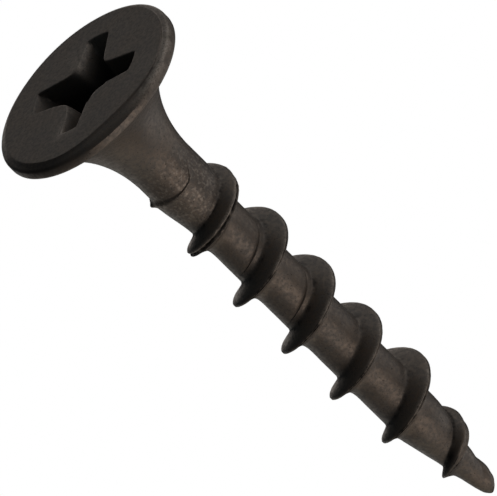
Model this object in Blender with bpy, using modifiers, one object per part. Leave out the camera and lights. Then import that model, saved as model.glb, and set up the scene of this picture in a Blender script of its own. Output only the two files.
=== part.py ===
"""Coarse-thread drywall screw with a bugle head, in metres.

The screw stands on the flat face of its head with the point up, and the face's centre is the origin.
One piece of wire makes all of it: the head is cold formed, then the recess is punched and the thread rolled.
"""

import math

import bmesh
import bpy

MM = 0.001

# Screw as a whole
OVERALL_LENGTH = 24.9 * MM
FACETS_PER_TURN = 48

# Bugle head
FACE_DIAMETER = 7.60 * MM
HEAD_DIAMETER = 8.33 * MM
EDGE_HEIGHT = 0.32 * MM
EDGE_FULLNESS = 0.85
EDGE_STEPS = 3
RIM_THICKNESS = 0.60 * MM
RIM_ROUNDING = 0.06 * MM
RIM_STEPS = 2
FLARE_REACH = 3.45 * MM
FLARE_HEIGHT = 4.45 * MM
FLARE_STEPS = 13

# Plain shank, and the threaded core that the rolling dies squeeze thinner
SHANK_DIAMETER = 2.51 * MM
SHANK_LENGTH = 1.05 * MM
CORE_DIAMETER = 2.10 * MM
SHANK_TAPER_LENGTH = 1.9 * MM
TAPER_STEPS = 5

# Gimlet point: an ogive whose sharp end is blunted to a round nose
POINT_LENGTH = 5.6 * MM
POINT_FULLNESS = 1.8
BLUNTED_LENGTH = 0.4 * MM
NOSE_LENGTH = 0.24 * MM
POINT_STEPS = 9
NOSE_STEPS = 3

# Single-start right-hand thread
THREAD_PITCH = 2.9 * MM
THREAD_DIAMETER = 3.66 * MM
CREST_WIDTH = 0.09 * MM
HEAD_FLANK_ANGLE = math.radians(29)
POINT_FLANK_ANGLE = math.radians(26)
ROOT_FILLET_WIDTH = 0.16 * MM
ROOT_FILLET_HEIGHT = 0.12 * MM
THREAD_ROOT_OVERLAP = 0.24 * MM
THREAD_START = 5.35 * MM
RUN_OUT_LENGTH = 2.6 * MM
THREAD_TURN = math.radians(184)
POINT_THREAD_LENGTH = 6.3 * MM
POINT_FADE_LENGTH = 3.1 * MM
POINT_TOOTH_HEIGHT = 0.36 * MM
LAST_TOOTH_LENGTH = 1.5 * MM
THREAD_TO_NOSE = 0.35 * MM
SMALLEST_TOOTH_HEIGHT = 0.07 * MM

# Cross recess, size 2
RECESS_SPAN = 4.98 * MM
RECESS_DEPTH = 2.55 * MM
RECESS_CONE_ANGLE = math.radians(26.5)
RECESS_FLOOR_DEPTH = 0.32 * MM
WING_TIP_WIDTH = 1.12 * MM
WING_ROOT_WIDTH = 1.46 * MM
WING_CORNER_ROUNDING = 0.34 * MM
FLOOR_SHARE = 0.86
CUTTER_OVERRUN = 0.4 * MM
CORNER_STEPS = 4

COATING_COLOUR = (0.038, 0.034, 0.031, 1.0)

# Sizes that follow from the ones above
FACE_RADIUS = FACE_DIAMETER / 2
HEAD_RADIUS = HEAD_DIAMETER / 2
SHANK_RADIUS = SHANK_DIAMETER / 2
CORE_RADIUS = CORE_DIAMETER / 2
TOOTH_HEIGHT = (THREAD_DIAMETER - CORE_DIAMETER) / 2
FLARE_SHARE = 1 - (HEAD_RADIUS - SHANK_RADIUS) / FLARE_REACH
FLARE_END = RIM_THICKNESS + FLARE_HEIGHT * math.sqrt(1 - FLARE_SHARE**2)
SHANK_END = FLARE_END + SHANK_LENGTH
POINT_START = OVERALL_LENGTH - POINT_LENGTH
POINT_THREAD_START = OVERALL_LENGTH - POINT_THREAD_LENGTH
THREAD_END = OVERALL_LENGTH - THREAD_TO_NOSE
NOSE_START = OVERALL_LENGTH - NOSE_LENGTH


def ease(share):
    """Runs from 0 to 1 with level ends."""
    share = min(max(share, 0.0), 1.0)
    return share * share * (3 - 2 * share)


def flare_radius(height):
    """Radius of the trumpet-shaped neck, a quarter ellipse that ends level with the shank."""
    share = min(max((FLARE_END - height) / FLARE_HEIGHT, 0.0), 1.0)
    return SHANK_RADIUS + FLARE_REACH * (1 - math.sqrt(1 - share**2))


def point_radius(height):
    """Radius of the core inside the gimlet point."""
    share = (min(height, NOSE_START) - POINT_START) / (POINT_LENGTH + BLUNTED_LENGTH)
    radius = CORE_RADIUS * (1 - share**POINT_FULLNESS)
    if height > NOSE_START:
        radius *= math.sqrt(max(1 - ((height - NOSE_START) / NOSE_LENGTH) ** 2, 0.0))
    return radius


def body_radius(height):
    """Radius of the screw under its thread, below the rim."""
    if height <= FLARE_END:
        return flare_radius(height)
    if height <= POINT_START:
        thinned = ease((height - SHANK_END) / SHANK_TAPER_LENGTH)
        return SHANK_RADIUS + (CORE_RADIUS - SHANK_RADIUS) * thinned
    return point_radius(height)


def tooth_height(height):
    """Height of the tooth at this place on the screw: full between the run-out and the point."""
    rising = ease((height - THREAD_START) / RUN_OUT_LENGTH)
    faded = ease((height - POINT_THREAD_START) / POINT_FADE_LENGTH)
    closing = ease((THREAD_END - height) / LAST_TOOTH_LENGTH)
    full = TOOTH_HEIGHT + (POINT_TOOTH_HEIGHT - TOOTH_HEIGHT) * faded
    return max(full * rising * closing, SMALLEST_TOOTH_HEIGHT)


def body_profile():
    """(radius, height) points of the turned body, from the face's centre to the point."""
    points = [(0.0, 0.0), (FACE_RADIUS, 0.0)]
    for step in range(1, EDGE_STEPS + 1):
        turn = math.pi / 2 * step / EDGE_STEPS
        out = math.sin(turn) ** (1 / EDGE_FULLNESS)
        up = 1 - math.cos(turn) ** (1 / EDGE_FULLNESS)
        points.append((FACE_RADIUS + (HEAD_RADIUS - FACE_RADIUS) * out, EDGE_HEIGHT * up))
    for step in range(RIM_STEPS + 1):
        turn = math.pi / 2 * step / RIM_STEPS
        radius = HEAD_RADIUS - RIM_ROUNDING * (1 - math.cos(turn))
        points.append((radius, RIM_THICKNESS - RIM_ROUNDING * (1 - math.sin(turn))))
    widest = math.asin((FLARE_END - RIM_THICKNESS) / FLARE_HEIGHT)
    for step in range(1, FLARE_STEPS + 1):
        height = FLARE_END - FLARE_HEIGHT * math.sin(widest * (1 - step / FLARE_STEPS))
        points.append((flare_radius(height), height))
    for step in range(TAPER_STEPS + 1):
        height = SHANK_END + SHANK_TAPER_LENGTH * step / TAPER_STEPS
        points.append((body_radius(height), height))
    for step in range(POINT_STEPS + 1):
        height = POINT_START + (NOSE_START - POINT_START) * step / POINT_STEPS
        points.append((point_radius(height), height))
    for step in range(1, NOSE_STEPS + 1):
        height = NOSE_START + NOSE_LENGTH * math.sin(math.pi / 2 * step / NOSE_STEPS)
        points.append((point_radius(height), height))
    return points


def add_to(collection, name, data):
    thing = bpy.data.objects.new(name, data)
    collection.objects.link(thing)
    return thing


def turned_body(collection):
    """The whole screw without its thread and recess, as a profile turned about the axis."""
    # The profile runs down its outer side, from the point to the face
    points = body_profile()[::-1]
    mesh = bpy.data.meshes.new("drywall_screw")
    edges = [(i, i + 1) for i in range(len(points) - 1)]
    mesh.from_pydata([(radius, 0.0, height) for radius, height in points], edges, [])
    body = add_to(collection, "drywall_screw", mesh)
    turn = body.modifiers.new("Turn", "SCREW")
    turn.steps = FACETS_PER_TURN
    turn.render_steps = FACETS_PER_TURN
    turn.use_merge_vertices = True
    turn.merge_threshold = 1e-7
    turn.use_smooth_shade = True
    return body


def tooth_section(collection):
    """Outline of the tooth across the thread, with its origin on the core's surface."""
    half_crest = CREST_WIDTH / 2
    flank = TOOTH_HEIGHT - ROOT_FILLET_HEIGHT
    outline = []
    for side, angle in ((-1, HEAD_FLANK_ANGLE), (1, POINT_FLANK_ANGLE)):
        at_fillet = half_crest + flank * math.tan(angle)
        at_core = at_fillet + ROOT_FILLET_WIDTH
        outline.append(
            [
                (-THREAD_ROOT_OVERLAP, side * at_core),
                (0.0, side * at_core),
                (ROOT_FILLET_HEIGHT, side * at_fillet),
                (TOOTH_HEIGHT, side * half_crest),
            ]
        )
    head_side, point_side = outline
    return closed_curve(collection, "tooth_section", head_side + point_side[::-1])


def closed_curve(collection, name, points):
    curve = bpy.data.curves.new(name, "CURVE")
    curve.dimensions = "2D"
    curve.fill_mode = "BOTH"
    spline = curve.splines.new("POLY")
    spline.points.add(len(points) - 1)
    for point, (across, along) in zip(spline.points, points):
        point.co = (across, along, 0.0, 1.0)
    spline.use_cyclic_u = True
    return add_to(collection, name, curve)


def mesh_from_curve(collection, source, name):
    """Turns a curve object into a closed mesh object and removes the curve."""
    bpy.context.view_layer.update()
    evaluated = source.evaluated_get(bpy.context.evaluated_depsgraph_get())
    mesh = bpy.data.meshes.new_from_object(evaluated)
    work = bmesh.new()
    work.from_mesh(mesh)
    bmesh.ops.remove_doubles(work, verts=work.verts, dist=1e-8)
    bmesh.ops.recalc_face_normals(work, faces=work.faces)
    work.to_mesh(mesh)
    work.free()
    made = add_to(collection, name, mesh)
    made.matrix_world = source.matrix_world.copy()
    bpy.data.objects.remove(source)
    return made


def hide_helper(helper):
    helper.hide_render = True
    helper.display_type = "WIRE"


def thread_ridge(collection):
    """The thread's ridge as one helix of the tooth's section, thinner at the run-out and the point."""
    section = tooth_section(collection)
    curve = bpy.data.curves.new("thread_path", "CURVE")
    curve.dimensions = "3D"
    curve.twist_mode = "Z_UP"
    curve.bevel_mode = "OBJECT"
    curve.bevel_object = section
    curve.use_fill_caps = True
    facet = 2 * math.pi / FACETS_PER_TURN
    rise = THREAD_PITCH / FACETS_PER_TURN
    phase = THREAD_TURN / (2 * math.pi) * THREAD_PITCH
    first = math.ceil((THREAD_START - phase) / rise)
    last = math.floor((THREAD_END - phase) / rise)
    spline = curve.splines.new("POLY")
    spline.points.add(last - first)
    for point, step in zip(spline.points, range(first, last + 1)):
        height = phase + step * rise
        radius = body_radius(height)
        turn = step * facet
        point.co = (radius * math.cos(turn), radius * math.sin(turn), height, 1.0)
        point.radius = tooth_height(height) / TOOTH_HEIGHT
    path = add_to(collection, "thread_path", curve)
    ridge = mesh_from_curve(collection, path, "thread_ridge")
    bpy.data.objects.remove(section)
    hide_helper(ridge)
    return ridge


def wing_outline():
    """Plan of the cross: four wings that narrow towards their tips, with rounded inner corners."""
    reach = RECESS_SPAN / 2 + CUTTER_OVERRUN
    tip = WING_TIP_WIDTH / 2
    root = WING_ROOT_WIDTH / 2
    slope = (root - tip) / (RECESS_SPAN / 2 - root)
    far = tip - slope * CUTTER_OVERRUN
    set_back = WING_CORNER_ROUNDING
    start = (root + set_back, root - slope * set_back)
    end = (root - slope * set_back, root + set_back)
    corner = []
    for step in range(CORNER_STEPS + 1):
        share = step / CORNER_STEPS
        weights = ((1 - share) ** 2, 2 * share * (1 - share), share**2)
        corner.append(
            tuple(
                weights[0] * start[axis] + weights[1] * root + weights[2] * end[axis]
                for axis in (0, 1)
            )
        )
    quarter = [(reach, far)] + corner + [(far, reach)]
    outline = []
    for turn in range(4):
        cos, sin = round(math.cos(turn * math.pi / 2)), round(math.sin(turn * math.pi / 2))
        outline += [(x * cos - y * sin, x * sin + y * cos) for x, y in quarter]
    return outline


def recess_punch(collection):
    """The punch that leaves the cross recess: a blunt cone with four flutes between its wings."""
    overrun_radius = RECESS_SPAN / 2 + CUTTER_OVERRUN * math.tan(RECESS_CONE_ANGLE)
    floor_radius = RECESS_SPAN / 2 - RECESS_DEPTH * math.tan(RECESS_CONE_ANGLE)
    deepest = RECESS_DEPTH + RECESS_FLOOR_DEPTH
    outline = [
        (0.0, deepest),
        (floor_radius, RECESS_DEPTH),
        (overrun_radius, -CUTTER_OVERRUN),
        (0.0, -CUTTER_OVERRUN),
    ]
    mesh = bpy.data.meshes.new("recess_punch")
    edges = [(i, i + 1) for i in range(len(outline) - 1)]
    mesh.from_pydata([(radius, 0.0, height) for radius, height in outline], edges, [])
    punch = add_to(collection, "recess_punch", mesh)
    turn = punch.modifiers.new("Turn", "SCREW")
    turn.steps = FACETS_PER_TURN
    turn.render_steps = FACETS_PER_TURN
    turn.use_merge_vertices = True
    turn.merge_threshold = 1e-7

    flat = closed_curve(collection, "wing_outline", wing_outline())
    flat_middle = deepest / 2
    flat.data.extrude = flat_middle + CUTTER_OVERRUN
    flat.location.z = flat_middle
    wings = mesh_from_curve(collection, flat, "recess_wings")
    # The cross is its named size at the face and narrows evenly down to its floor
    for vertex in wings.data.vertices:
        height = vertex.co.z + flat_middle
        narrowed = 1 - (1 - FLOOR_SHARE) * height / deepest
        vertex.co.x *= narrowed
        vertex.co.y *= narrowed
    hide_helper(wings)
    cross = punch.modifiers.new("Wings", "BOOLEAN")
    cross.operation = "INTERSECT"
    cross.solver = "EXACT"
    cross.object = wings
    hide_helper(punch)
    return punch


def coating():
    """Black phosphate coating: near black, slightly brown, dull."""
    material = bpy.data.materials.new("black_phosphate")
    material.use_nodes = True
    shader = material.node_tree.nodes["Principled BSDF"]
    shader.inputs["Base Color"].default_value = COATING_COLOUR
    shader.inputs["Roughness"].default_value = 0.5
    shader.inputs["Metallic"].default_value = 0.6
    material.diffuse_color = COATING_COLOUR
    return material


def build():
    for thing in list(bpy.data.objects):
        bpy.data.objects.remove(thing)
    scene = bpy.context.scene
    parts = bpy.data.collections.new("drywall_screw")
    cutters = bpy.data.collections.new("cutters")
    scene.collection.children.link(parts)
    scene.collection.children.link(cutters)

    screw = turned_body(parts)
    roll = screw.modifiers.new("Roll thread", "BOOLEAN")
    roll.operation = "UNION"
    roll.solver = "EXACT"
    roll.object = thread_ridge(cutters)
    strike = screw.modifiers.new("Punch recess", "BOOLEAN")
    strike.operation = "DIFFERENCE"
    strike.solver = "EXACT"
    strike.object = recess_punch(cutters)
    screw.data.materials.append(coating())


build()
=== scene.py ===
import math
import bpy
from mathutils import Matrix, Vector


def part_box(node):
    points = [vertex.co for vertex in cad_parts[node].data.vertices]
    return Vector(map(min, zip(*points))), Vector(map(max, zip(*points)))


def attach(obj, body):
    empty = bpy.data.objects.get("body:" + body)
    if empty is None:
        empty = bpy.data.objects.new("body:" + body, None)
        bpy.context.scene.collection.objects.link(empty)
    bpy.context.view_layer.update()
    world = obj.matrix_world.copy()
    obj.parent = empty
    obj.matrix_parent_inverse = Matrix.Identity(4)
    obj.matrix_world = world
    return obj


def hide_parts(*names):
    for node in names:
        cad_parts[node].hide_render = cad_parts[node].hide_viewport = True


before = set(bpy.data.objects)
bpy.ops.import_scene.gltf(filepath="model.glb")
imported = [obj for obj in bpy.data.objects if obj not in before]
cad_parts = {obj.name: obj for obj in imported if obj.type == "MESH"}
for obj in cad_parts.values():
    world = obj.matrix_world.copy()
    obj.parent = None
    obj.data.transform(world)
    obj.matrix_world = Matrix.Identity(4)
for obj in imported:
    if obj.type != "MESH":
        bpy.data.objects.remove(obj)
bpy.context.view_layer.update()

from types import SimpleNamespace
import bpy
import numpy as np
from mathutils import Matrix, Vector, noise

# A coarse drywall screw, cold formed and thread rolled, with a black phosphate coating.
# It stands on the flat of its head with the point up.
# It is modelled in millimetres, and its finished mesh is scaled to metres at the end.
# Among the sizes, most pairs of numbers are a ramp's start and length, or a hill's middle and reach.
# The two numbers of a grain are the size of its patches and its seed.

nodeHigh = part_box("drywall_screw")[1]
millimetre = 0.001              # in metres
upward = Vector((0, 0, 1))
seedStep = (7.3, 3.1, 5.7)      # how far apart two seeds read the noise


def smooth(share):
    share = np.clip(share, 0.0, 1.0)
    return share * share * (3 - 2 * share)


def ramp(value, start, length):
    # 0 up to the start, and 1 from that length past it on
    return smooth((value - start) / length)


def hill(value, middle, reach):
    # 1 in the middle, and 0 from the reach on to both sides
    return smooth(1 - np.abs(value - middle) / reach)


def weighed(strengths, *shares):
    # the first strength, and each further one times its share
    return strengths[0] + sum(strength * share for strength, share in zip(strengths[1:], shares))


def grain(points, size, seed):
    # soft noise from about -1 to 1 at each point
    shift = Vector([seed * step for step in seedStep])
    return np.array([noise.noise(Vector(point) / size + shift) for point in points])


def deselectAll():
    for thing in bpy.context.selected_objects:
        thing.select_set(False)


def activate(thing):
    deselectAll()
    thing.select_set(True)
    bpy.context.view_layer.objects.active = thing


def readPoints(thing):
    flat = np.empty(len(thing.data.vertices) * 3)
    thing.data.vertices.foreach_get("co", flat)
    return flat.reshape(-1, 3)


def writePoints(thing, points):
    thing.data.vertices.foreach_set("co", points.ravel())
    thing.data.update()


def setFigure(thing, name, values):
    # one number, or three, kept at each vertex for the finish to read
    kind, key = ("FLOAT_VECTOR", "vector") if values.ndim == 2 else ("FLOAT", "value")
    layer = thing.data.attributes.new(name, kind, "POINT")
    layer.data.foreach_set(key, np.ascontiguousarray(values, np.float32).ravel())


def selectVerts(thing, chosen):
    # selects these vertices in edit mode, and the edges and faces that lie between them
    bpy.ops.object.mode_set(mode="EDIT")
    bpy.ops.mesh.select_mode(type="VERT")
    bpy.ops.mesh.select_all(action="DESELECT")
    bpy.ops.object.mode_set(mode="OBJECT")
    thing.data.vertices.foreach_set("select", chosen)
    bpy.ops.object.mode_set(mode="EDIT")


def selectWhole():
    bpy.ops.object.mode_set(mode="EDIT")
    bpy.ops.mesh.select_all(action="SELECT")


def openRim(thing, height, reach):
    # the vertices of open edges that lie within this reach of a height
    edges = np.empty(len(thing.data.edges) * 2, int)
    thing.data.edges.foreach_get("vertices", edges)
    edges = edges.reshape(-1, 2)
    loops = np.empty(len(thing.data.loops), int)
    thing.data.loops.foreach_get("edge_index", loops)
    uses = np.bincount(loops, minlength=len(edges))
    chosen = np.zeros(len(thing.data.vertices), bool)
    chosen[edges[uses == 1].ravel()] = True
    return chosen & (np.abs(readPoints(thing)[:, 2] - height) < reach)


def extrudeUp(rise):
    bpy.ops.mesh.extrude_region_move(TRANSFORM_OT_translate={"value": (0, 0, rise)})


def widenRing(ratio, height):
    bpy.ops.transform.resize(value=(ratio, ratio, 1), center_override=(0, 0, height))


def directions(points):
    # of each point, in degrees from +X
    return np.degrees(np.arctan2(points[:, 1], points[:, 0]))


# Camera: the photograph's view, from below the head's face, seen through a very long lens
viewSettings = {
    "azimuth": 48.55,
    "elevation": -26.868,
    "axisAngle": -44.757,       # where the screw's axis runs in the picture, from level
    "distance": 769.2,          # millimetres
    "aimRight": 6.3375,
    "aimUp": -6.1873,
    "lens": 1461.9,
    "sensorWidth": 36,
    "clipStart": 0.01,          # metres
    "clipEnd": 10,
}


def addCamera(view):
    azimuth, elevation = math.radians(view["azimuth"]), math.radians(view["elevation"])
    back = Vector((
        math.cos(elevation) * math.cos(azimuth),
        math.cos(elevation) * math.sin(azimuth),
        math.sin(elevation),
    ))
    axisSeen = (upward - back * back.z).normalized()
    acrossSeen = back.cross(axisSeen)
    turn = math.radians(view["axisAngle"])
    right = axisSeen * math.cos(turn) - acrossSeen * math.sin(turn)
    up = axisSeen * math.sin(turn) + acrossSeen * math.cos(turn)
    aim = right * view["aimRight"] + up * view["aimUp"]
    place = (aim + back * view["distance"]) * millimetre
    matrix = Matrix((right, up, back)).transposed().to_4x4()
    matrix.translation = place
    deselectAll()
    bpy.ops.object.camera_add(location=place)
    camera = bpy.context.object
    camera.name = "photoCamera"
    camera.matrix_world = matrix
    camera.data.lens = view["lens"]
    camera.data.sensor_width = view["sensorWidth"]
    camera.data.clip_start = view["clipStart"]
    camera.data.clip_end = view["clipEnd"]
    bpy.context.scene.camera = camera
    return back


towardCamera = addCamera(viewSettings)
print("camera placed")


# coarse coating on the shank and the first root, by height
coarseCoating = {"plain": 0.12, "plainStart": (3.2, 1.5), "more": 0.5, "morePlace": (5.8, 2.5)}


def coarseAt(height, coating):
    more = coating["more"] * hill(height, *coating["morePlace"])
    return coating["plain"] * ramp(height, *coating["plainStart"]) + more


# Thread and core: one pitch of the surface as a line, turned up the screw, then shaped row by row.
# A place along the thread is given by its turn, counted from where the crest's line starts, at +X.
threadSizes = {
    "pitch": 2.9,
    "crestAtStart": 1.482,      # height of the crest's line at +X, before the first turn
    "turns": 9,
    "facets": 180,
    "rowsEachSide": 20,         # of the crest's line
    "crestRows": 3,             # so many of them are on the crest itself
    "startSize": 0.2,           # of the plane that is merged into the line's first point
    "mergeDistance": 0.0005,
    "turnTolerance": 0.00001,
    "rowTolerance": 0.000001,
    "shankRadius": 1.255,
    "coreRadius": 1.05,
    "coreTaper": (6.01, 1.9),   # height where the shank narrows to the core
    "fullTooth": 0.785,
    "slenderLimits": (0.02, 1.2),
    "slenderPower": 0.42,
    "lastWidth": 0.9,           # so much wider is the last tooth for its height
    "lastWidening": (7.4, 0.25),
    "flankEnd": 0.35,           # gap where the rows start to stretch
    "stretchEnd": 1.4,
    "wobble": 0.035,
    "wobbleTurn": 0.24,
    "wobbleStart": (1.5, 0.3),
    "lapEnd": (1.30, 0.35),     # turn where the lap gives way to the thread proper
    "lapStep": 0.06,
    "lapStepGrowth": 0.20,
    "lapGrowing": (1.15, 0.2),
    "lapRunOut": 0.30,
    "headJoin": 4.8,            # height of the end that meets the head
    "length": nodeHigh.z / millimetre,
    "noseLength": 0.30,
    "noseAngles": (18, 36, 52, 66, 78),
    "noseSharpness": 0.5,
    "cutTolerance": 0.00001,
    "rimReach": 0.1,
    # marks that the dies left, some of them stronger on the first tooth
    "firstTooth": (2.12, 0.55),
    "lastTooth": (6.45, 0.2),
    "lastToothCalm": 0.8,       # share of the marks that the last tooth lacks
    "lowTooth": 0.3,            # the marks fade on a tooth lower than this
    "seamPlace": (0.1, 0.9),    # across the crest
    "seamDepth": 0.30,          # share of the crest's width
    "seamDepthFirst": 0.20,
    "seamEven": 0.8,
    "seamRagged": 0.5,
    "seamRaggedFirst": 0.6,
    "raggedGrain": (0.13, 3),
    "raggedStretch": (1, 1, 0.4),
    "raggedHeight": 0.012,
    "chipGrain": (0.11, 5),
    "chipHeight": 0.012,
    "chipHeightFirst": 0.016,
    "steps": ((3.12, 0.30, 1.0), (4.12, 0.32, 1.0), (2.10, 0.10, 0.3)),     # turn, reach and strength
    "stepGap": 0.70,
    "stepHeight": 0.022,
    "stepEdge": 0.03,
    "stepTop": 0.62,
    "stepFade": 0.30,
    "groove": (0.012, 0.035),
    "grooveDepth": 0.03,
    "burrTurn": (1.385, 0.032),
    "burrHeight": 0.10,
    "burrReach": (0.15, 0.22),  # on the head side and the point side
    "broadDents": (0.9, 1),
    "broadDentHeight": 0.008,
    "smallDents": (0.32, 2),
    "smallDentHeight": 0.0035,
    # wear: the edge is rubbed a little outside the crest; on one side of each turn a painted highlight makes
    # it brightest, and on the shaded side it is dimmer
    "coarseGrain": (0.30, 8),
    "fineGrain": (0.10, 14),
    "highlightSide": (0.10, 0.06),
    "shadedSide": (0.19, 0.13),
    "edgeOutset": 0.02,
    "edgeReach": (0.07, 0.10),  # on the head side and the point side
    "edgeLastLess": 0.8,
    "edgeShadedLess": 0.7,
    "edgeStrength": (0.45, 0.4, 1.3, 0.5, 0.6),     # plain, first tooth, painted highlight side, coarse and fine grain
    # the dark share: grime in the seam, and painted shade on the shaded rim, along the tooth's foot and
    # under the last tooth
    "sootedSeam": (0.1, 0.85),  # across the crest
    "seamShows": (0.04, 0.08),  # width of the crest
    "seamLastLess": 0.8,
    "seamGrain": (0.17, 9),
    "seamStrength": (0.6, 0.4, 1.0, 0.9),           # plain, first tooth, its own and the fine grain
    "rimShadeReach": (0.05, 0.10),
    "rimStrength": (0.9, 1.4, 1.0),                 # plain, coarse and fine grain
    "footGap": (0.38, 0.10),
    "footEnd": (7.3, 0.2),
    "footStrength": (0.15, 0.55, 0.9, 0.5),         # plain, last tooth, coarse and fine grain
    "underGap": (0.26, 0.28),
    "underTurn": (7.20, 0.22),
    "underStrength": (0.8, 0.5),                    # plain and coarse grain
    "shadeAndGrimeTooth": 0.2,
    "coarseTooth": 0.25,        # height up the tooth where the coarse coating ends
}

# gaps of the rows from the crest's edge; one more row lies midway between two crests
rowGaps = [0.03, 0.07, 0.115, 0.17, 0.235, 0.30, 0.35, 0.39, 0.43, 0.50, 0.66, 0.69, 0.715, 0.76, 0.88, 1.08]

# share of the tooth's height at a gap from the crest's edge, on its head side and its point side
toothGaps = [0.0, 0.05, 0.10, 0.22, 0.34, 0.40, 0.48, 0.62, 0.90]
headSideShares = [1.0, 0.95, 0.87, 0.57, 0.205, 0.05, 0.0, 0.0, 0.0]
pointSideShares = [1.0, 0.86, 0.71, 0.394, 0.125, 0.080, 0.045, 0.015, 0.0]

# where the dies' edge lifted the metal before the thread proper: height by turn
startPath = [
    (0.50, 2.93), (0.92, 4.74), (1.036, 5.00), (1.066, 5.27), (1.10, 5.52), (1.174, 5.63),
    (1.23, 5.66), (1.30, 5.69), (1.385, 5.72), (1.455, 5.79), (1.53, 5.92),
]

# radius of the crest by turn
crestRadii = [
    (0.95, 1.255), (1.03, 1.255), (1.08, 1.30), (1.20, 1.32), (1.30, 1.34), (1.385, 1.36),
    (1.46, 1.40), (1.55, 1.50), (1.66, 1.58), (1.78, 1.635), (1.885, 1.67), (2.0, 1.70),
    (2.385, 1.70), (2.60, 1.75), (2.885, 1.82), (3.135, 1.85), (3.385, 1.90), (3.885, 1.803),
    (4.385, 1.867), (4.885, 1.768), (5.385, 1.82), (5.70, 1.87), (5.885, 1.879), (6.05, 1.83),
    (6.25, 1.70), (6.385, 1.604), (6.55, 1.43), (6.72, 1.28), (6.885, 1.228), (7.05, 1.15),
    (7.25, 1.01), (7.385, 0.945), (7.48, 0.76), (7.58, 0.59), (7.70, 0.55), (7.80, 0.56),
    (7.90, 0.53), (8.0, 0.41), (8.1, 0.26), (8.25, 0.10), (8.45, 0.0),
]

# full width of the crest, and how far its middle stands towards the point, by turn
crestWidths = [
    (1.5, 0.05), (1.75, 0.12), (1.9, 0.20), (2.3, 0.22), (2.6, 0.16), (2.97, 0.13), (3.25, 0.06),
    (3.7, 0.07), (3.97, 0.12), (4.25, 0.06), (4.7, 0.07), (4.97, 0.12), (5.25, 0.06), (5.7, 0.08),
    (5.97, 0.13), (6.3, 0.06), (6.6, 0.16), (6.88, 0.42), (7.1, 0.26), (7.3, 0.05), (7.6, 0.06),
    (7.80, 0.30), (7.93, 0.36), (8.1, 0.10),
]
crestShifts = [
    (1.6, 0.0), (1.9, 0.13), (2.05, 0.08), (2.3, -0.02), (2.7, 0.0), (2.97, 0.06), (3.25, 0.0),
    (3.7, 0.0), (3.97, 0.06), (4.25, 0.0), (4.7, 0.0), (4.97, 0.06), (5.25, 0.0), (6.55, 0.0),
    (6.88, 0.20), (7.1, 0.17), (7.28, 0.11), (7.42, 0.05), (7.6, -0.02), (7.80, -0.18),
    (7.90, -0.22), (8.05, -0.20), (8.3, -0.1),
]

# radius of the core in the point by height
pointRadii = [
    (19.3, 1.05), (20.1, 1.05), (20.5, 1.03), (20.8, 0.98), (21.2, 0.90), (21.6, 0.82),
    (22.0, 0.735), (22.45, 0.65), (22.9, 0.60), (23.2, 0.545), (23.41, 0.505), (23.63, 0.46),
    (23.84, 0.42), (24.06, 0.38), (24.27, 0.335), (24.45, 0.29), (24.6, 0.235), (25.5, 0.12),
]


def listed(pairs, where):
    # a smooth curve through listed pairs, without overshoot, read where it is wanted
    at, value = (np.array(column, float) for column in zip(*pairs))
    place = np.clip(np.searchsorted(at, where) - 1, 0, len(at) - 2)
    share = np.clip((where - at[place]) / (at[place + 1] - at[place]), 0, 1)
    rise = np.diff(value) / np.diff(at)
    slope = np.zeros(len(at))
    steady = rise[1:] * rise[:-1] > 0
    slope[1:-1][steady] = 2 / (1 / rise[1:][steady] + 1 / rise[:-1][steady])
    room = at[place + 1] - at[place]
    square, cube = share ** 2, share ** 3
    return (
        (2 * cube - 3 * square + 1) * value[place] + (3 * square - 2 * cube) * value[place + 1]
        + (cube - 2 * square + share) * room * slope[place] + (cube - square) * room * slope[place + 1]
    )


def coreRadius(height, sizes):
    thinned = ramp(height, *sizes["coreTaper"])
    plain = sizes["shankRadius"] + (sizes["coreRadius"] - sizes["shankRadius"]) * thinned
    return np.where(height < pointRadii[0][0], plain, listed(pointRadii, height))


def crestHeight(turn, sizes):
    regular = sizes["crestAtStart"] + sizes["pitch"] * turn
    guided = (turn > startPath[0][0]) & (turn < startPath[-1][0])
    path = np.where(guided, np.maximum(listed(startPath, turn), regular), regular)
    around = 2 * math.pi * (turn - sizes["wobbleTurn"])
    path -= sizes["wobble"] * (1 + np.cos(around)) * ramp(turn, *sizes["wobbleStart"])
    return path + listed(crestShifts, turn)


def addThread(sizes):
    pitch, rows = sizes["pitch"], sizes["rowsEachSide"]
    start = sizes["crestAtStart"] - pitch / 2
    deselectAll()
    bpy.ops.mesh.primitive_plane_add(size=sizes["startSize"], location=(sizes["coreRadius"], 0, start))
    thread = bpy.context.object
    thread.name = "drywallScrew"
    bpy.ops.object.transform_apply(location=True)
    selectWhole()
    bpy.ops.mesh.merge(type="CENTER")
    for row in range(2 * rows):
        extrudeUp(pitch / (2 * rows))
    bpy.ops.object.mode_set(mode="OBJECT")
    bpy.ops.object.modifier_add(type="SCREW")
    turned = thread.modifiers[0]
    turned.axis = "Z"
    turned.angle = 2 * math.pi
    turned.screw_offset = pitch
    turned.iterations = sizes["turns"]
    turned.steps = turned.render_steps = sizes["facets"]
    bpy.ops.object.modifier_apply(modifier=turned.name)
    selectWhole()
    bpy.ops.mesh.remove_doubles(threshold=sizes["mergeDistance"])
    bpy.ops.object.mode_set(mode="OBJECT")
    return thread


def toothShare(grid, sizes):
    # share of the tooth's height at each point
    gap = grid.gap / grid.slender
    head, point = np.interp(gap, toothGaps, headSideShares), np.interp(gap, toothGaps, pointSideShares)
    thread = np.where(grid.onHeadSide, head, point)
    # the dies' edge left a lap: steep on its head side, long and level on its point side
    step = sizes["lapStep"] + sizes["lapStepGrowth"] * ramp(grid.turn, *sizes["lapGrowing"])
    lapHead, lapPoint = smooth(1 - grid.gap / step), np.exp(-grid.gap / sizes["lapRunOut"])
    lap = 1 - ramp(grid.turn, *sizes["lapEnd"])
    return thread * (1 - lap) + np.where(grid.onHeadSide, lapHead, lapPoint) * lap


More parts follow.
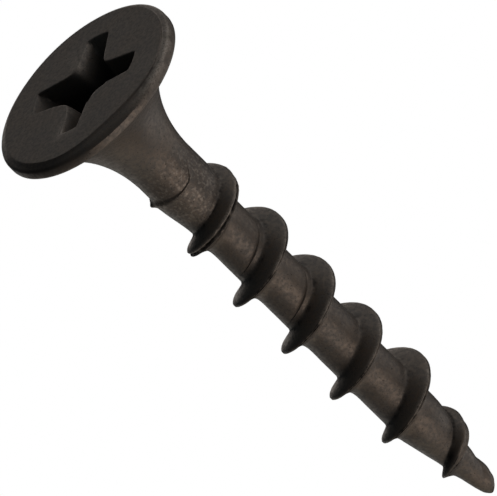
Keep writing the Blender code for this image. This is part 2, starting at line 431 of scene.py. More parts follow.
def layOutRows(points, sizes):
    # finds each point's turn and row, and its place beside the crest's line
    rows, crestRows = sizes["rowsEachSide"], sizes["crestRows"]
    around = np.arctan2(points[:, 1], points[:, 0]) / (2 * math.pi) % 1.0
    around[around > 1 - sizes["turnTolerance"]] = 0.0
    above = (points[:, 2] - sizes["crestAtStart"]) / sizes["pitch"] - around
    whole = np.round(above)
    row = (above - whole) * 2 * rows
    number = np.abs(row)
    turn = around + whole
    grid = SimpleNamespace(turn=turn, angle=around * 2 * math.pi, onHeadSide=row < 0)
    grid.onCrest = number <= crestRows + sizes["rowTolerance"]
    # from -1 to 1 across the crest, and 2 everywhere off it
    grid.across = np.where(grid.onCrest, row / crestRows, 2.0)
    grid.crestWidth = listed(crestWidths, turn)
    crest = crestHeight(turn, sizes)
    nextCrest = crestHeight(turn + np.where(grid.onHeadSide, -1, 1), sizes)
    grid.tooth = np.clip(listed(crestRadii, turn) - coreRadius(crest, sizes), 0, None)
    # a low tooth is narrower too, so that its flanks stay steep
    grid.slender = np.clip(grid.tooth / sizes["fullTooth"], *sizes["slenderLimits"]) ** sizes["slenderPower"]
    grid.slender += sizes["lastWidth"] * ramp(turn, *sizes["lastWidening"])
    # beyond the flank the rows stretch, so that the last one lies midway to the next crest
    halfCrest = grid.crestWidth / 2
    room = np.abs(nextCrest - crest) / 2
    spread = np.interp(number, np.arange(crestRows, rows), [0.0] + rowGaps)
    beyond = np.clip((spread - sizes["flankEnd"]) / (sizes["stretchEnd"] - sizes["flankEnd"]), 0, 1)
    gap = spread * grid.slender + beyond * (room - halfCrest - sizes["stretchEnd"] * grid.slender)
    grid.gap = np.where(grid.onCrest, 0.0, np.where(number > rows - 0.5, room - halfCrest, gap))
    grid.distance = np.where(grid.onCrest, halfCrest * number / crestRows, halfCrest + grid.gap)
    grid.height = crest + np.where(grid.onHeadSide, -grid.distance, grid.distance)
    grid.share = toothShare(grid, sizes)
    return grid


def crestRelief(grid, place, sizes):
    # the seam where the rolled metal closed over the crest, deepest and most ragged on the first tooth
    first = hill(grid.turn, *sizes["firstTooth"])
    ragged = grain(place * sizes["raggedStretch"], *sizes["raggedGrain"])
    uneven = sizes["seamEven"] + (sizes["seamRagged"] + sizes["seamRaggedFirst"] * first) * ragged
    depth = (sizes["seamDepth"] + sizes["seamDepthFirst"] * first) * grid.crestWidth * uneven
    depth += sizes["raggedHeight"] * ragged
    chips = np.where(grid.onCrest, grain(place, *sizes["chipGrain"]), 0.0)
    chips *= sizes["chipHeight"] + sizes["chipHeightFirst"] * first
    shallow = 1 - sizes["lastToothCalm"] * ramp(grid.turn, *sizes["lastTooth"])
    relief = chips - hill(grid.across, *sizes["seamPlace"]) * depth
    return relief * smooth(grid.tooth / sizes["lowTooth"]) * shallow


def stepRelief(grid, sizes):
    # steps left by the dies beside the root, raised towards the tooth
    seen = sum(strength * hill(grid.turn, middle, reach) for middle, reach, strength in sizes["steps"])
    raised = smooth((sizes["stepGap"] - grid.gap) / sizes["stepEdge"])
    raised *= 1 - smooth((sizes["stepTop"] - grid.gap) / sizes["stepFade"])
    groove = hill(grid.gap - sizes["stepGap"], *sizes["groove"])
    relief = np.clip(seen, 0, 1) * (sizes["stepHeight"] * raised - sizes["grooveDepth"] * groove)
    return np.where(grid.onHeadSide, relief, 0.0) * smooth(grid.tooth / sizes["lowTooth"])


def burrRelief(grid, sizes):
    # the thin burr that stands off the lap's end
    reach = np.where(grid.onHeadSide, *sizes["burrReach"])
    return sizes["burrHeight"] * hill(grid.turn, *sizes["burrTurn"]) * hill(grid.distance, 0, reach)


def shapeThread(thread, grid, sizes):
    outward = np.stack([np.cos(grid.angle), np.sin(grid.angle), 0 * grid.angle], 1)
    height = grid.height[:, None] * upward
    radius = coreRadius(grid.height, sizes) + grid.tooth * grid.share
    radius += crestRelief(grid, outward + height, sizes)
    radius += stepRelief(grid, sizes)
    radius += burrRelief(grid, sizes)
    points = radius[:, None] * outward + height
    dents = sizes["broadDentHeight"] * grain(points, *sizes["broadDents"])
    dents += sizes["smallDentHeight"] * grain(points, *sizes["smallDents"])
    points += dents[:, None] * outward
    writePoints(thread, points)
    return points


def rubThread(thread, grid, points, sizes):
    # bright on the crest's edges from wear, and a painted highlight on one side of each turn
    first, last = hill(grid.turn, *sizes["firstTooth"]), ramp(grid.turn, *sizes["lastTooth"])
    coarse, fine = grain(points, *sizes["coarseGrain"]), grain(points, *sizes["fineGrain"])
    # painted highlight: the side of each turn where light falls
    bright = hill(grid.turn % 1, *sizes["highlightSide"])
    # painted shade: the side of each turn that the light misses
    shaded = hill(grid.turn % 1, *sizes["shadedSide"]) * (1 - first)
    outside = grid.distance - grid.crestWidth / 2
    edge = hill(outside, sizes["edgeOutset"], np.where(grid.onHeadSide, *sizes["edgeReach"]))
    edge *= smooth(grid.tooth / sizes["lowTooth"])
    edge *= (1 - sizes["edgeLastLess"] * last) * (1 - sizes["edgeShadedLess"] * shaded)
    edge *= weighed(sizes["edgeStrength"], first, bright, coarse, fine)
    setFigure(thread, "wearAndHighlight", np.clip(edge, 0, 1))
    # black: grime in the seam, and painted shade on the shaded rim, in the crease along the tooth's foot and
    # under the last tooth
    seam = hill(grid.across, *sizes["sootedSeam"]) * ramp(grid.crestWidth, *sizes["seamShows"])
    seam *= 1 - sizes["seamLastLess"] * last
    seam *= weighed(sizes["seamStrength"], first, grain(points, *sizes["seamGrain"]), fine)
    # painted shade beside the crest on the shaded side of each turn
    rim = hill(outside, 0, np.where(grid.onHeadSide, *sizes["rimShadeReach"])) * shaded
    rim *= weighed(sizes["rimStrength"], coarse, fine)
    gap = grid.gap / grid.slender
    # painted shade in the crease along the tooth's foot
    foot = np.where(grid.onHeadSide, hill(gap, *sizes["footGap"]), 0)
    foot *= weighed(sizes["footStrength"], last, coarse, fine) * (1 - ramp(grid.turn, *sizes["footEnd"]))
    # painted shade on the last tooth's flank, which faces away from the light
    under = np.where(grid.onHeadSide, hill(gap, *sizes["underGap"]), 0)
    under *= weighed(sizes["underStrength"], coarse) * hill(grid.turn, *sizes["underTurn"])
    shadeAndGrime = np.clip(np.max([seam, rim, foot, under], 0), 0, 1)
    setFigure(thread, "shadeAndGrime", shadeAndGrime * smooth(grid.tooth / sizes["shadeAndGrimeTooth"]))
    level = 1 - smooth(grid.tooth * grid.share / sizes["coarseTooth"])
    setFigure(thread, "coarseness", coarseAt(points[:, 2], coarseCoating) * level)


thread = addThread(threadSizes)
grid = layOutRows(readPoints(thread), threadSizes)
threadPoints = shapeThread(thread, grid, threadSizes)
rubThread(thread, grid, threadPoints, threadSizes)
print("thread turned and shaped:", len(thread.data.vertices), "points")


def trimEnds(thread, sizes, noseStart):
    for height, side in ((sizes["headJoin"], 1), (noseStart, -1)):
        selectWhole()
        bpy.ops.mesh.bisect(
            plane_co=(0, 0, height), plane_no=(0, 0, side), clear_inner=True, threshold=sizes["cutTolerance"]
        )
        bpy.ops.object.mode_set(mode="OBJECT")


def closeNose(thread, sizes, noseStart):
    selectVerts(thread, openRim(thread, noseStart, sizes["rimReach"]))
    height, width = noseStart, 1.0
    for angle in sizes["noseAngles"]:
        out, up = math.cos(math.radians(angle)), math.sin(math.radians(angle))
        nextHeight = noseStart + sizes["noseLength"] * up
        nextWidth = out * (1 - sizes["noseSharpness"] * up)
        extrudeUp(nextHeight - height)
        widenRing(nextWidth / width, nextHeight)
        height, width = nextHeight, nextWidth
    extrudeUp(sizes["length"] - height)
    bpy.ops.mesh.merge(type="CENTER")
    bpy.ops.object.mode_set(mode="OBJECT")


noseStart = threadSizes["length"] - threadSizes["noseLength"]
trimEnds(thread, threadSizes, noseStart)
closeNose(thread, threadSizes, noseStart)
print("point closed")


# Bugle head: a circle extruded down the flare, round the rim and in over the face
headSizes = {
    "facets": 192,
    "radius": nodeHigh.x / millimetre,
    "joinGap": 0.12,            # to the end of the thread's mesh, bridged later
    "flareReach": 3.45,
    "flareHeight": 4.45,
    "flareSteps": 26,
    "rimTop": 0.60,
    "rimRounding": 0.11,
    "rimAngles": (90, 60, 30, 0),
    "edgeHeight": 0.25,
    "beadAngles": (0, 15, 30, 45, 58, 68),
    "chamferRadius": 3.99,
    "chamferHeight": 0.09,
    # the small step down to the face: shares of the way out, and of the chamfer's height
    "stepShares": ((0.75, 0.95), (0.3, 0.82), (0.16, 0.7), (0.09, 0.4), (0.02, 0.06)),
    "faceRadius": 3.86,
    "faceInsets": (0.004, 0.03, 0.10, 0.30),
    "faceInner": 3.0,
    "faceShift": (0.02, -0.05),
    "dip": (53, 42),            # where the chamfer is wide, in degrees from +X
    "dipDepth": 0.27,
    "plainSide": (125, 85),     # where a plain slope takes the place of the step
    # spots on the rim: a painted highlight on its lit side, mottled like rubbed metal, and painted shade on
    # its shaded side and in a line by the face's edge; strength, then height and direction from +X, each
    # with its reach
    "coarseGrain": (0.35, 12),
    "fineGrain": (0.14, 16),
    "brightened": (
        (1.7, (0.16, 0.19), (2, 46)),
        (0.9, (0.16, 0.19), (14, 18)),
        (0.5, (0.16, 0.19), (-50, 20)),
        (0.45, (0.38, 0.22), (30, 80)),
    ),
    "highlightStrength": (0.8, 1.0, 0.9),              # plain, coarse and fine grain
    "shadedSpots": ((0.7, (0.24, 0.46), (104, 40)), (0.8, (0.045, 0.055), (16, 30))),
    "patchy": ((0.5, (0.34, 0.30), (50, 70)),),     # darker in patches, by the grain alone
    "cleanFace": 0.001,         # height
}


def arcPoints(middle, size, angles):
    # (radius, height) on a quarter ellipse, at angles counted from its side; a negative height goes down
    turns = [math.radians(angle) for angle in angles]
    return [(middle[0] + size[0] * math.cos(turn), middle[1] + size[1] * math.sin(turn)) for turn in turns]


def headProfile(sizes, shank, join):
    # (radius, height) from the shank down to the inner part of the face
    radius, top, bottom = sizes["radius"], sizes["rimTop"], sizes["edgeHeight"]
    share = 1 - (radius - shank) / sizes["flareReach"]
    flareEnd = top + sizes["flareHeight"] * math.sqrt(1 - share ** 2)
    first = math.asin((flareEnd - join) / sizes["flareHeight"])
    widest = math.asin((flareEnd - top) / sizes["flareHeight"])
    profile = []
    for step in range(sizes["flareSteps"]):
        turn = first + (widest - first) * step / sizes["flareSteps"]
        profile.append((
            shank + sizes["flareReach"] * (1 - math.cos(turn)),
            flareEnd - sizes["flareHeight"] * math.sin(turn),
        ))
    rounding = sizes["rimRounding"]
    profile += arcPoints((radius - rounding, top - rounding), (rounding, rounding), sizes["rimAngles"])
    profile.append((radius, (top + bottom) / 2))
    # a bead, then a flat chamfer, then a small steep step down to the face
    chamferRadius, chamferHeight, face = sizes["chamferRadius"], sizes["chamferHeight"], sizes["faceRadius"]
    profile += arcPoints(
        (chamferRadius, bottom), (radius - chamferRadius, chamferHeight - bottom), sizes["beadAngles"]
    )
    profile += [(face + (chamferRadius - face) * out, chamferHeight * up) for out, up in sizes["stepShares"]]
    profile += [(face - inset, 0.0) for inset in sizes["faceInsets"]]
    profile.append((sizes["faceInner"], 0.0))
    return profile


def addHead(sizes, profile):
    radius, height = profile[0]
    deselectAll()
    bpy.ops.mesh.primitive_circle_add(vertices=sizes["facets"], radius=radius, location=(0, 0, height))
    head = bpy.context.object
    head.name = "bugleHead"
    bpy.ops.object.transform_apply(location=True)
    selectWhole()
    for nextRadius, nextHeight in profile[1:]:
        extrudeUp(nextHeight - height)
        widenRing(nextRadius / radius, nextHeight)
        radius, height = nextRadius, nextHeight
    bpy.ops.object.mode_set(mode="OBJECT")
    return head


def shapeFace(head, around, sizes):
    # the punch met the blank askew, so the face's edge dips in on one side and the chamfer is wide there
    points = readPoints(head)
    x, y, z = points.T
    low = np.clip(1 - z / sizes["edgeHeight"], 0, 1)
    dip = sizes["dipDepth"] * hill(around, *sizes["dip"]) * low
    # on another side a plain slope takes the place of the step
    out = (np.hypot(x, y) - sizes["faceRadius"]) / (sizes["chamferRadius"] - sizes["faceRadius"])
    plain = hill(around, *sizes["plainSide"]) * (z < sizes["chamferHeight"])
    z += plain * (sizes["chamferHeight"] * np.clip(out, 0, 1) - z)
    points[:, :2] *= (1 - dip / np.hypot(x, y))[:, None]
    points[:, :2] += np.outer(low ** 2, sizes["faceShift"])
    writePoints(head, points)
    return points


def spots(places, height, around):
    return sum(
        strength * hill(height, *heights) * hill(around, *turns) for strength, heights, turns in places
    )


# the rim's painted highlight and painted shade, with darker patches from the grain
def rubHead(head, around, points, sizes):
    height = points[:, 2]
    coarse, fine = grain(points, *sizes["coarseGrain"]), grain(points, *sizes["fineGrain"])
    # painted highlight on the rim's lit side, mottled by the grain
    brightened = spots(sizes["brightened"], height, around) * weighed(sizes["highlightStrength"], coarse, fine)
    setFigure(head, "wearAndHighlight", np.clip(brightened, 0, 1))
    # painted shade on the rim's shaded side and by the face's edge, and darker patches from the grain
    shadeAndGrime = spots(sizes["shadedSpots"], height, around) + spots(sizes["patchy"], height, around) * (coarse + fine)
    setFigure(head, "shadeAndGrime", np.clip(shadeAndGrime, 0, 1) * (height > sizes["cleanFace"]))
    setFigure(head, "coarseness", coarseAt(height, coarseCoating))


flareStart = threadSizes["headJoin"] - headSizes["joinGap"]
head = addHead(headSizes, headProfile(headSizes, threadSizes["shankRadius"], flareStart))
headDirections = directions(readPoints(head))
headPoints = shapeFace(head, headDirections, headSizes)
rubHead(head, headDirections, headPoints, headSizes)
print("head turned:", len(head.data.vertices), "points")


# Cross recess, size 2: its outline at the face, carried down into the head. The punch stood a little askew.
recessSizes = {
    "depth": 2.55,
    "coneAngle": 26.5,
    "floorDepth": 0.32,
    "floorShare": 0.72,
    "shift": (0.015, -0.123),
    "leanDepth": 0.35,
    # for each wing, before and behind its axis: half width at the tip, half width at the middle,
    # reach of its corner, and how far the wall leans in
    "wings": (
        ((0.61, 0.40), (0.80, 0.68), (2.55, 2.44), (0.0, 0.0)),
        ((0.42, 0.385), (0.68, 0.42), (2.555, 2.61), (0.0, 0.14)),
        ((0.56, 0.59), (0.78, 0.92), (2.45, 2.62), (0.0, 0.0)),
        ((0.57, 0.50), (0.80, 0.84), (2.585, 2.63), (0.22, 0.0)),
    ),
    "tipTurn": 0.23,            # how far a wing's corners are turned from its axis, in radians
    "cornerSharpness": (2.3, 2.3, 5.5, 6.0),
    "cornerEnd": (1.25, 0.25),  # radius where the rounding between two wings ends
    "smallestSlope": 0.001,
    "tipSteps": 12,
    "wallSteps": 36,
    # (depth, outset) of the rings at the rounded lip, and the depths of those below it
    "lipRings": ((0.0, 0.08), (0.0, 0.04), (0.003, 0.018), (0.013, 0.005), (0.035, 0.0)),
    "wallDepths": (0.08, 0.15, 0.25, 0.4, 0.6, 0.9, 1.25, 1.6, 1.95, 2.25, 2.55),
    # the lip is rubbed near one place, less and less further off, and so are two walls
    "lipDepth": (0.01, 0.035),
    "lipPlace": (0, 2.4),
    "lipFade": (-0.2, 2.0),
    "lipGrain": (0.5, 11),
    "lipStrength": (0.6, 0.6),  # plain and grain
    "rubbedWalls": ((1.0, 246, 22), (0.6, 112, 26)),    # strength, direction from +X and reach
    "wallFade": (0.09, 0.45),   # depth
    "wallGrain": (0.22, 13),
    "wallStrength": (0.35, 0.8),                        # plain and grain
    # painted shade: darker deeper in the recess
    "shadeAndGrime": 0.85,
    "shadeStart": (0.30, 0.9),   # depth
}


def wingRadius(turned, depth, outset, wing, sizes):
    # how far a wing reaches in a direction that is turned so far from the wing's axis
    narrowed = 1 - (1 - sizes["floorShare"]) * depth / sizes["depth"]
    tip, root, corner, lean = (np.where(turned < 0, *pair) for pair in wing)
    leaned = lean * (1 - math.exp(-depth / sizes["leanDepth"]))
    tip = (tip - leaned) * narrowed + outset
    root = (root - leaned) * narrowed + outset
    full = np.interp(turned, (-sizes["tipTurn"], sizes["tipTurn"]), wing[2])
    reach = full - depth * math.tan(math.radians(sizes["coneAngle"])) + outset
    slope = (root - tip) / full
    line = root / np.maximum(np.abs(np.sin(turned)) + slope * np.cos(turned), sizes["smallestSlope"])
    return np.minimum(np.where(np.cos(turned) > 0, line, root), reach)


def crossRadius(angle, depth, outset, sizes):
    # distance from the recess's middle to its wall in each direction at this depth
    quarter = math.pi / 2
    lobe = (np.floor(angle / quarter) % 4).astype(int)
    past = angle % quarter
    radius = np.zeros(len(angle))
    for number in range(4):
        here = lobe == number
        near = wingRadius(past, depth, outset, sizes["wings"][number], sizes)
        far = wingRadius(past - quarter, depth, outset, sizes["wings"][(number + 1) % 4], sizes)
        farther = np.maximum(near, far)
        power = sizes["cornerSharpness"][number]
        rounded = (near ** power + far ** power) ** (1 / power)
        # the rounding belongs to the corner between two wings, not to their tips
        blend = 1 - ramp(farther, *sizes["cornerEnd"])
        radius[here] = (farther * (1 - blend) + rounded * blend)[here]
    return radius


def recessAngles(sizes):
    # directions all round, close together at the wings' corners
    corners = []
    for number, wing in enumerate(sizes["wings"]):
        axis, (before, behind), reach = number * math.pi / 2, wing[0], wing[2]
        corners += [axis - math.atan2(before, reach[0]), axis + math.atan2(behind, reach[1])]
    corners.append(corners[0] + 2 * math.pi)
    stretches = zip(corners[:-1], corners[1:], (sizes["tipSteps"], sizes["wallSteps"]) * 4)
    return np.concatenate([np.linspace(low, high, count, endpoint=False) for low, high, count in stretches])


def addRecess(sizes):
    angles = recessAngles(sizes)
    rings = list(sizes["lipRings"]) + [(depth, 0.0) for depth in sizes["wallDepths"]]
    deselectAll()
    bpy.ops.mesh.primitive_circle_add(vertices=len(angles), radius=1)
    recess = bpy.context.object
    recess.name = "recess"
    selectWhole()
    for ring, nextRing in zip(rings[:-1], rings[1:]):
        extrudeUp(nextRing[0] - ring[0])
    bpy.ops.object.mode_set(mode="OBJECT")
    # each ring of points takes the outline of the cross at its depth
    outlines = []
    for depth, outset in rings:
        radius = crossRadius(angles, depth, outset, sizes)
        x, y = radius * np.cos(angles) + sizes["shift"][0], radius * np.sin(angles) + sizes["shift"][1]
        outlines.append(np.stack([x, y, np.full(len(angles), depth)], 1))
    points = np.concatenate(outlines)
    writePoints(recess, points)
    return recess, points


def rubRecess(recess, points, sizes):
    # the lip is rubbed bright where drivers bore on it
    x, y, depth = points.T
    off = np.hypot(x - sizes["lipPlace"][0], y - sizes["lipPlace"][1])
    brightened = hill(depth, *sizes["lipDepth"]) * (1 - ramp(off, *sizes["lipFade"]))
    brightened *= weighed(sizes["lipStrength"], grain(points, *sizes["lipGrain"]))
    # so are the two walls that turn a driver's wings
    around = directions(points) % 360
    driven = sum(strength * hill(around, middle, reach) for strength, middle, reach in sizes["rubbedWalls"])
    driven *= 1 - ramp(depth, *sizes["wallFade"])
    brightened += driven * weighed(sizes["wallStrength"], grain(points, *sizes["wallGrain"]))
    setFigure(recess, "wearAndHighlight", np.clip(brightened, 0, 1))
    # painted shade, darker with depth in the recess
    setFigure(recess, "shadeAndGrime", sizes["shadeAndGrime"] * ramp(depth, *sizes["shadeStart"]))


def closeFloor(recess, deepest, sizes):
    selectVerts(recess, deepest)
    extrudeUp(sizes["floorDepth"])
    bpy.ops.mesh.merge(type="CENTER")
    bpy.ops.object.mode_set(mode="OBJECT")


recess, recessPoints = addRecess(recessSizes)
rubRecess(recess, recessPoints, recessSizes)
closeFloor(recess, recessPoints[:, 2] == recessSizes["depth"], recessSizes)
print("recess sunk:", len(recess.data.vertices), "points")


# Screw: the three meshes bridged into one. Its flow is the direction that the dies drew the metal in,
# for the streaks of the finish: quick across the thread, slow along it, and plain on the struck face.
screwSizes = {
    "bridgeHeights": (threadSizes["headJoin"], 0.0),
    "bridgeReach": 0.5,
    "mergeDistance": 0.0003,
    "smoothAngle": 40,
    "flowAcross": 5,
    "flowOutward": 0.3,
    "flowAlong": 0.2,
    "faceHeight": 0.1,
    "faceFlow": 1.2,
}


def joinPieces(thread, head, recess, sizes):
    activate(thread)
    head.select_set(True)
    recess.select_set(True)
    bpy.ops.object.join()
    for height in sizes["bridgeHeights"]:
        selectVerts(thread, openRim(thread, height, sizes["bridgeReach"]))
        bpy.ops.mesh.bridge_edge_loops()
        bpy.ops.object.mode_set(mode="OBJECT")
    selectWhole()
    bpy.ops.mesh.remove_doubles(threshold=sizes["mergeDistance"])
    bpy.ops.mesh.normals_make_consistent(inside=False)
    bpy.ops.object.mode_set(mode="OBJECT")
    return thread


def addFlow(screw, sizes, pitch):
    points = readPoints(screw)
    x, y, z = points.T
    around = 2 * math.pi * z / pitch - np.arctan2(y, x)
    drawn = np.stack([
        sizes["flowAcross"] * np.cos(around) + sizes["flowOutward"] * x,
        sizes["flowAcross"] * np.sin(around) + sizes["flowOutward"] * y,
        sizes["flowAlong"] * z,
    ], 1)
    struck = smooth(1 - z / sizes["faceHeight"])[:, None]
    setFigure(screw, "flow", drawn * (1 - struck) + sizes["faceFlow"] * points * struck)


def scaleToMetres(screw, sizes):
    activate(screw)
    bpy.ops.transform.resize(value=(millimetre, millimetre, millimetre), center_override=(0, 0, 0))
    bpy.ops.object.transform_apply(location=True, rotation=True, scale=True)
    bpy.ops.object.shade_smooth_by_angle(angle=math.radians(sizes["smoothAngle"]))


screw = joinPieces(thread, head, recess, screwSizes)
addFlow(screw, screwSizes, threadSizes["pitch"])
scaleToMetres(screw, screwSizes)
print("pieces joined:", len(screw.data.vertices), "points", len(screw.data.polygons), "faces")


# Phosphate finish: dark grey-brown, rubbed bright on edges and black in seams, with painted highlights where
# light falls and painted shade in creases, on shaded sides and deep in the recess
finishSizes = {
    "cool": (0.103, 0.097, 0.092, 1),
    "warm": (0.142, 0.118, 0.098, 1),
    "bright": (0.30, 0.27, 0.24, 1),
    # near black, for grime and for painted shade
    "shadeAndGrime": (0.006, 0.0055, 0.006, 1),
    "metallic": 0.5,
    # noises: patches to the millimetre, detail and roughness
    "mottling": (6.5, 4, 0.62),
    "patches": (0.7, 2, 0.5),
    "pits": (15.0, 3, 0.6),
    "streaks": (1.6, 4, 0.6),
    "flecks": (8.0, 2, 0.5),
    # ranges: the two ends read from a noise, and what they give
    "warmMottling": (0.36, 0.64, 0, 0.6),
    "warmPatches": (0.35, 0.65, 0, 0.4),
    "fleckShare": (0.50, 0.66, 0, 1),
    "wearOverPits": (0.32, 0.6, 0.35, 1),
    "sootInPits": (0.40, 0.27, 0, 0.75),
    "roughness": (0.35, 0.65, 0.56, 0.36),
    "shadeAndGrimeRoughness": 0.3,
    "pitRelief": 0.5,
    "streakRelief": 0.5,
    "reliefStrength": 1.0,
    "reliefHeight": 0.010,      # millimetres
}


def addNode(tree, kind, **settings):
    node = tree.nodes.new("ShaderNode" + kind)
    for name, value in settings.items():
        setattr(node, name, value)
    return node


def feed(tree, socket, value):
    # a plain value is set on the socket, and anything else is linked to it
    if isinstance(value, (int, float, tuple)):
        socket.default_value = value
    else:
        tree.links.new(value, socket)


def noiseNode(tree, vector, scale, detail, roughness):
    texture = addNode(tree, "TexNoise")
    texture.inputs["Scale"].default_value = scale
    texture.inputs["Detail"].default_value = detail
    texture.inputs["Roughness"].default_value = roughness
    tree.links.new(vector, texture.inputs["Vector"])
    return texture.outputs["Fac"]


def rangeNode(tree, value, *limits):
    mapped = addNode(tree, "MapRange", interpolation_type="SMOOTHSTEP")
    for name, limit in zip(("From Min", "From Max", "To Min", "To Max"), limits):
        mapped.inputs[name].default_value = limit
    tree.links.new(value, mapped.inputs["Value"])
    return mapped.outputs["Result"]


def mathNode(tree, operation, first, second):
    worked = addNode(tree, "Math", operation=operation, use_clamp=True)
    feed(tree, worked.inputs[0], first)
    feed(tree, worked.inputs[1], second)
    return worked.outputs[0]


def mixColours(tree, share, first, second):
    # on a Mix node the colours are inputs 6 and 7, and output 2
    mixed = addNode(tree, "Mix", data_type="RGBA")
    feed(tree, mixed.inputs[0], share)
    feed(tree, mixed.inputs[6], first)
    feed(tree, mixed.inputs[7], second)
    return mixed.outputs[2]


def phosphate(sizes):
    material = bpy.data.materials.new("blackPhosphate")
    material.use_nodes = True
    tree = material.node_tree
    shader = tree.nodes["Principled BSDF"]
    coordinates = addNode(tree, "TexCoord")
    inMillimetres = addNode(tree, "Mapping")
    inMillimetres.inputs["Scale"].default_value = (1 / millimetre, 1 / millimetre, 1 / millimetre)
    tree.links.new(coordinates.outputs["Object"], inMillimetres.inputs["Vector"])
    place = inMillimetres.outputs["Vector"]
    flow = addNode(tree, "Attribute", attribute_name="flow").outputs["Vector"]
    wearAndHighlight = addNode(tree, "Attribute", attribute_name="wearAndHighlight").outputs["Fac"]
    shadeAndGrime = addNode(tree, "Attribute", attribute_name="shadeAndGrime").outputs["Fac"]
    coarseness = addNode(tree, "Attribute", attribute_name="coarseness").outputs["Fac"]

    mottling = noiseNode(tree, place, *sizes["mottling"])
    patches = noiseNode(tree, place, *sizes["patches"])
    pits = noiseNode(tree, place, *sizes["pits"])
    streaks = noiseNode(tree, flow, *sizes["streaks"])
    flecks = rangeNode(tree, noiseNode(tree, place, *sizes["flecks"]), *sizes["fleckShare"])

    warmMottling = rangeNode(tree, mottling, *sizes["warmMottling"])
    warmPatches = rangeNode(tree, patches, *sizes["warmPatches"])
    warmth = mathNode(tree, "ADD", warmMottling, warmPatches)
    colour = mixColours(tree, warmth, sizes["cool"], sizes["warm"])
    # rubbed wear and painted highlights brighten the colour, with flecks in the coarse coating
    brightened = mathNode(tree, "MULTIPLY", wearAndHighlight, rangeNode(tree, pits, *sizes["wearOverPits"]))
    brightened = mathNode(tree, "ADD", brightened, mathNode(tree, "MULTIPLY", coarseness, flecks))
    colour = mixColours(tree, brightened, colour, sizes["bright"])
    # grime in the seams and pits, and painted shade, darken the colour towards black
    shadeAndGrimeShare = mathNode(tree, "MAXIMUM", shadeAndGrime, rangeNode(tree, pits, *sizes["sootInPits"]))
    colour = mixColours(tree, shadeAndGrimeShare, colour, sizes["shadeAndGrime"])
    tree.links.new(colour, shader.inputs["Base Color"])

    rough = rangeNode(tree, mottling, *sizes["roughness"])
    rough = mathNode(tree, "ADD", rough, mathNode(tree, "MULTIPLY", shadeAndGrimeShare, sizes["shadeAndGrimeRoughness"]))
    tree.links.new(rough, shader.inputs["Roughness"])
    shader.inputs["Metallic"].default_value = sizes["metallic"]

    pitRelief = mathNode(tree, "MULTIPLY", pits, sizes["pitRelief"])
    streakRelief = mathNode(tree, "MULTIPLY", streaks, sizes["streakRelief"])
    relief = mathNode(tree, "ADD", pitRelief, streakRelief)
    raised = addNode(tree, "Bump")
    raised.inputs["Strength"].default_value = sizes["reliefStrength"]
    raised.inputs["Distance"].default_value = sizes["reliefHeight"] * millimetre
    tree.links.new(relief, raised.inputs["Height"])
    tree.links.new(raised.outputs["Normal"], shader.inputs["Normal"])
    return material


screw.data.materials.clear()
screw.data.materials.append(phosphate(finishSizes))
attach(screw, "root")
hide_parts("drywall_screw")
print("screw finished")


# Floor: seen from above only, so that the low camera looks up through it
floorSizes = {
    "size": 0.6,                # metres
    "gap": 0.00002,
    "colour": (0.84, 0.83, 0.82, 1),
    "roughness": 0.85,
    "glow": 0.28,
}


def paleFloor(sizes):
    material = bpy.data.materials.new("paleFloor")
    material.use_nodes = True
    tree = material.node_tree
    shader = tree.nodes["Principled BSDF"]
    shader.inputs["Base Color"].default_value = sizes["colour"]
    shader.inputs["Roughness"].default_value = sizes["roughness"]
    shader.inputs["Emission Color"].default_value = sizes["colour"]
    shader.inputs["Emission Strength"].default_value = sizes["glow"]
    clear = addNode(tree, "BsdfTransparent")
    side = addNode(tree, "NewGeometry")
    mixed = addNode(tree, "MixShader")
    tree.links.new(side.outputs["Backfacing"], mixed.inputs["Fac"])
    tree.links.new(shader.outputs["BSDF"], mixed.inputs[1])
    tree.links.new(clear.outputs["BSDF"], mixed.inputs[2])
    tree.links.new(mixed.outputs["Shader"], tree.nodes["Material Output"].inputs["Surface"])
    return material


def addFloor(sizes):
    deselectAll()
    bpy.ops.mesh.primitive_plane_add(size=sizes["size"], location=(0, 0, -sizes["gap"]))
    floor = bpy.context.object
    floor.name = "floor"
    bpy.ops.object.transform_apply(location=True)
    floor.data.materials.append(paleFloor(sizes))
    floor.visible_shadow = floor.visible_diffuse = floor.visible_glossy = False
    return floor


addFloor(floorSizes)
print("floor laid")


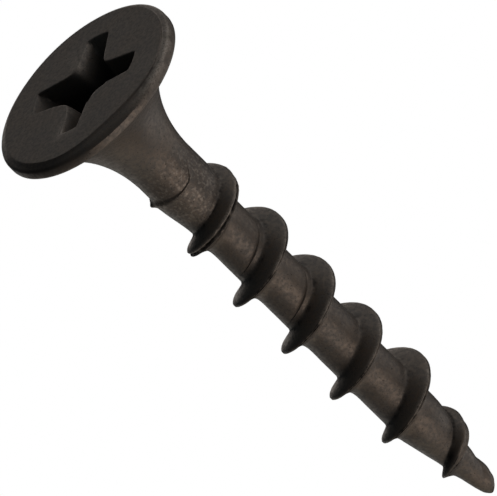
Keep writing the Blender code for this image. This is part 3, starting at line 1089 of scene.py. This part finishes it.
# Light: large softboxes round the screw's middle. Front is towards the camera, along is towards the
# screw's point, and across is towards the picture's upper right. Distance and size are in metres.
lightDistance = 0.25
softboxes = {
    "key": {"across": 0.04, "front": 0.90, "along": 0.43, "size": 0.25, "colour": (1.23, 1.05, 0.92)},
    "upperLeft": {"across": -0.50, "front": 0.20, "along": 0.85, "size": 0.24, "colour": (0.41, 0.37, 0.31)},
    "upperRight": {"across": 0.62, "front": 0.0, "along": 0.78, "size": 0.24, "colour": (0.67, 0.63, 0.60)},
    "side": {"across": 0.95, "front": 0.18, "along": -0.22, "size": 0.26, "colour": (0.47, 0.44, 0.42)},
    "low": {"across": 0.62, "front": -0.34, "along": -0.70, "size": 0.30, "colour": (0.44, 0.42, 0.40)},
    "back": {"across": 0.10, "front": -1.0, "along": 0.0, "size": 0.20, "colour": (0.66, 0.60, 0.55)},
    "backLeft": {"across": -0.62, "front": -0.62, "along": 0.48, "size": 0.20, "colour": (0.41, 0.40, 0.38)},
}
fillLight = (0.026, 0.031, 0.034, 1)
photoGround = (1, 1, 1, 1)


def addSoftbox(name, box):
    front = Vector((towardCamera.x, towardCamera.y, 0)).normalized()
    across = front.cross(upward)
    heading = (across * box["across"] + front * box["front"] + upward * box["along"]).normalized()
    deselectAll()
    bpy.ops.object.light_add(type="AREA", location=heading * lightDistance + upward * (nodeHigh.z / 2))
    lamp = bpy.context.object
    lamp.name = name + "Light"
    lamp.rotation_euler = heading.to_track_quat("Z", "Y").to_euler()
    lamp.data.shape = "SQUARE"
    lamp.data.size = box["size"]
    strength = max(box["colour"])
    lamp.data.color = [part / strength for part in box["colour"]]
    lamp.data.energy = strength * math.pi * box["size"] ** 2
    lamp.visible_camera = False


def addWorld():
    # white behind the screw, and only a little light from all round
    world = bpy.data.worlds.new("studio")
    bpy.context.scene.world = world
    world.use_nodes = True
    tree = world.node_tree
    rays = addNode(tree, "LightPath")
    colour = mixColours(tree, rays.outputs["Is Camera Ray"], fillLight, photoGround)
    tree.links.new(colour, tree.nodes["Background"].inputs["Color"])


for name, box in softboxes.items():
    addSoftbox(name, box)
addWorld()
bpy.context.scene.view_settings.view_transform = "Standard"
print("lights placed")
